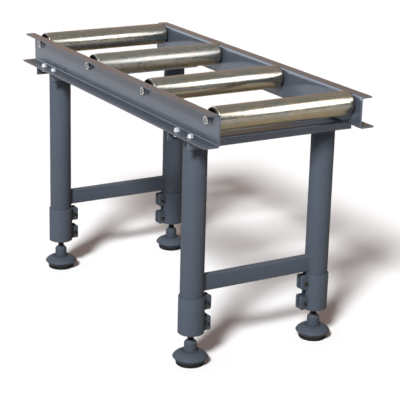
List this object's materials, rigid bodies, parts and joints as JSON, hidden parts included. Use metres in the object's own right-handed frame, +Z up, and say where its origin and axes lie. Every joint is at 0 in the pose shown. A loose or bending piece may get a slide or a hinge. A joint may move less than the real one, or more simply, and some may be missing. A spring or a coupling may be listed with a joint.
{
  "type": "material support stand",
  "caption": "Free-standing roller stand for long stock: folded side rails with transport rollers between them, on clamped telescopic legs with levelling feet.",
  "frame": {"origin": "on the floor under the middle of the stand, with the legs pushed in", "axes": "+Z up, +Y along the rails towards the rear leg frame, +X across the stand along the rollers"},
  "size_m": [0.463, 1, 0.6574],
  "materials": {
    "paint": "satin blue-grey anthracite powder coat",
    "roller_zinc": "yellowish zinc plating, streaked along the tube",
    "bright_zinc": "bright zinc plating",
    "plain_steel": "drawn steel, lightly oiled",
    "black_steel": "black oxide",
    "black_cap": "matt black",
    "black_rubber": "matt"
  },
  "bodies": {
    "frame": {"left_rail": "paint", "right_rail": "paint", "roller_1_axle": "bright_zinc", "roller_2_axle": "bright_zinc", "roller_3_axle": "bright_zinc", "roller_4_axle": "bright_zinc", "front_crossmember": "paint", "front_crossbar": "paint", "front_left_leg_tube": "paint", "front_left_clamp_sleeve": "paint", "front_left_clamp_bolt_lower": "black_steel", "front_left_clamp_bolt_upper": "black_steel", "front_right_leg_tube": "paint", "front_right_clamp_sleeve": "paint", "front_right_clamp_bolt_lower": "black_steel", "front_right_clamp_bolt_upper": "black_steel", "rear_crossmember": "paint", "rear_crossbar": "paint", "rear_left_leg_tube": "paint", "rear_left_clamp_sleeve": "paint", "rear_left_clamp_bolt_lower": "black_steel", "rear_left_clamp_bolt_upper": "black_steel", "rear_right_leg_tube": "paint", "rear_right_clamp_sleeve": "paint", "rear_right_clamp_bolt_lower": "black_steel", "rear_right_clamp_bolt_upper": "black_steel"},
    "roller_1": {"roller_1_tube": "roller_zinc", "roller_1_left_cap": "black_cap", "roller_1_right_cap": "black_cap"},
    "roller_2": {"roller_2_tube": "roller_zinc", "roller_2_left_cap": "black_cap", "roller_2_right_cap": "black_cap"},
    "roller_3": {"roller_3_tube": "roller_zinc", "roller_3_left_cap": "black_cap", "roller_3_right_cap": "black_cap"},
    "roller_4": {"roller_4_tube": "roller_zinc", "roller_4_left_cap": "black_cap", "roller_4_right_cap": "black_cap"},
    "front_left_leg": {"front_left_inner_leg": "plain_steel", "front_left_leg_plug": "plain_steel"},
    "front_left_foot": {"front_left_foot_plate": "paint", "front_left_foot_pad": "black_rubber"},
    "front_left_spindle": {"front_left_spindle": "black_steel"},
    "front_right_leg": {"front_right_inner_leg": "plain_steel", "front_right_leg_plug": "plain_steel"},
    "front_right_foot": {"front_right_foot_plate": "paint", "front_right_foot_pad": "black_rubber"},
    "front_right_spindle": {"front_right_spindle": "black_steel"},
    "rear_left_leg": {"rear_left_inner_leg": "plain_steel", "rear_left_leg_plug": "plain_steel"},
    "rear_left_foot": {"rear_left_foot_plate": "paint", "rear_left_foot_pad": "black_rubber"},
    "rear_left_spindle": {"rear_left_spindle": "black_steel"},
    "rear_right_leg": {"rear_right_inner_leg": "plain_steel", "rear_right_leg_plug": "plain_steel"},
    "rear_right_foot": {"rear_right_foot_plate": "paint", "rear_right_foot_pad": "black_rubber"},
    "rear_right_spindle": {"rear_right_spindle": "black_steel"}
  },
  "joints": [
    {"name": "roller_1_spin", "type": "hinge", "parent": "frame", "child": "roller_1", "pos_m": [0, -0.4545, 0.6284], "axis": [1, 0, 0], "continuous": true},
    {"name": "roller_2_spin", "type": "hinge", "parent": "frame", "child": "roller_2", "pos_m": [0, -0.1515, 0.6284], "axis": [1, 0, 0], "continuous": true},
    {"name": "roller_3_spin", "type": "hinge", "parent": "frame", "child": "roller_3", "pos_m": [0, 0.1515, 0.6284], "axis": [1, 0, 0], "continuous": true},
    {"name": "roller_4_spin", "type": "hinge", "parent": "frame", "child": "roller_4", "pos_m": [0, 0.4545, 0.6284], "axis": [1, 0, 0], "continuous": true},
    {"name": "front_left_leg_slide", "type": "slide", "parent": "frame", "child": "front_left_leg", "axis": [0, 0, -1], "range_m": [0, 0.3]},
    {"name": "front_left_foot_lift", "type": "slide", "parent": "front_left_leg", "child": "front_left_foot", "axis": [0, 0, -1], "range_m": [-0.015, 0.04]},
    {"name": "front_left_spindle_turn", "type": "hinge", "parent": "front_left_foot", "child": "front_left_spindle", "pos_m": [-0.179, -0.371, 0.05], "axis": [0, 0, -1], "range_deg": [-2700, 7200]},
    {"name": "front_right_leg_slide", "type": "slide", "parent": "frame", "child": "front_right_leg", "axis": [0, 0, -1], "range_m": [0, 0.3]},
    {"name": "front_right_foot_lift", "type": "slide", "parent": "front_right_leg", "child": "front_right_foot", "axis": [0, 0, -1], "range_m": [-0.015, 0.04]},
    {"name": "front_right_spindle_turn", "type": "hinge", "parent": "front_right_foot", "child": "front_right_spindle", "pos_m": [0.179, -0.371, 0.05], "axis": [0, 0, -1], "range_deg": [-2700, 7200]},
    {"name": "rear_left_leg_slide", "type": "slide", "parent": "frame", "child": "rear_left_leg", "axis": [0, 0, -1], "range_m": [0, 0.3]},
    {"name": "rear_left_foot_lift", "type": "slide", "parent": "rear_left_leg", "child": "rear_left_foot", "axis": [0, 0, -1], "range_m": [-0.015, 0.04]},
    {"name": "rear_left_spindle_turn", "type": "hinge", "parent": "rear_left_foot", "child": "rear_left_spindle", "pos_m": [-0.179, 0.371, 0.05], "axis": [0, 0, -1], "range_deg": [-2700, 7200]},
    {"name": "rear_right_leg_slide", "type": "slide", "parent": "frame", "child": "rear_right_leg", "axis": [0, 0, -1], "range_m": [0, 0.3]},
    {"name": "rear_right_foot_lift", "type": "slide", "parent": "rear_right_leg", "child": "rear_right_foot", "axis": [0, 0, -1], "range_m": [-0.015, 0.04]},
    {"name": "rear_right_spindle_turn", "type": "hinge", "parent": "rear_right_foot", "child": "rear_right_spindle", "pos_m": [0.179, 0.371, 0.05], "axis": [0, 0, -1], "range_deg": [-2700, 7200]}
  ],
  "couplings": [
    {"joint": "front_left_spindle_turn", "follows": "front_left_foot_lift", "rad_per_m": 3141.6},
    {"joint": "front_right_spindle_turn", "follows": "front_right_foot_lift", "rad_per_m": 3141.6},
    {"joint": "rear_left_spindle_turn", "follows": "rear_left_foot_lift", "rad_per_m": 3141.6},
    {"joint": "rear_right_spindle_turn", "follows": "rear_right_foot_lift", "rad_per_m": 3141.6}
  ]
}
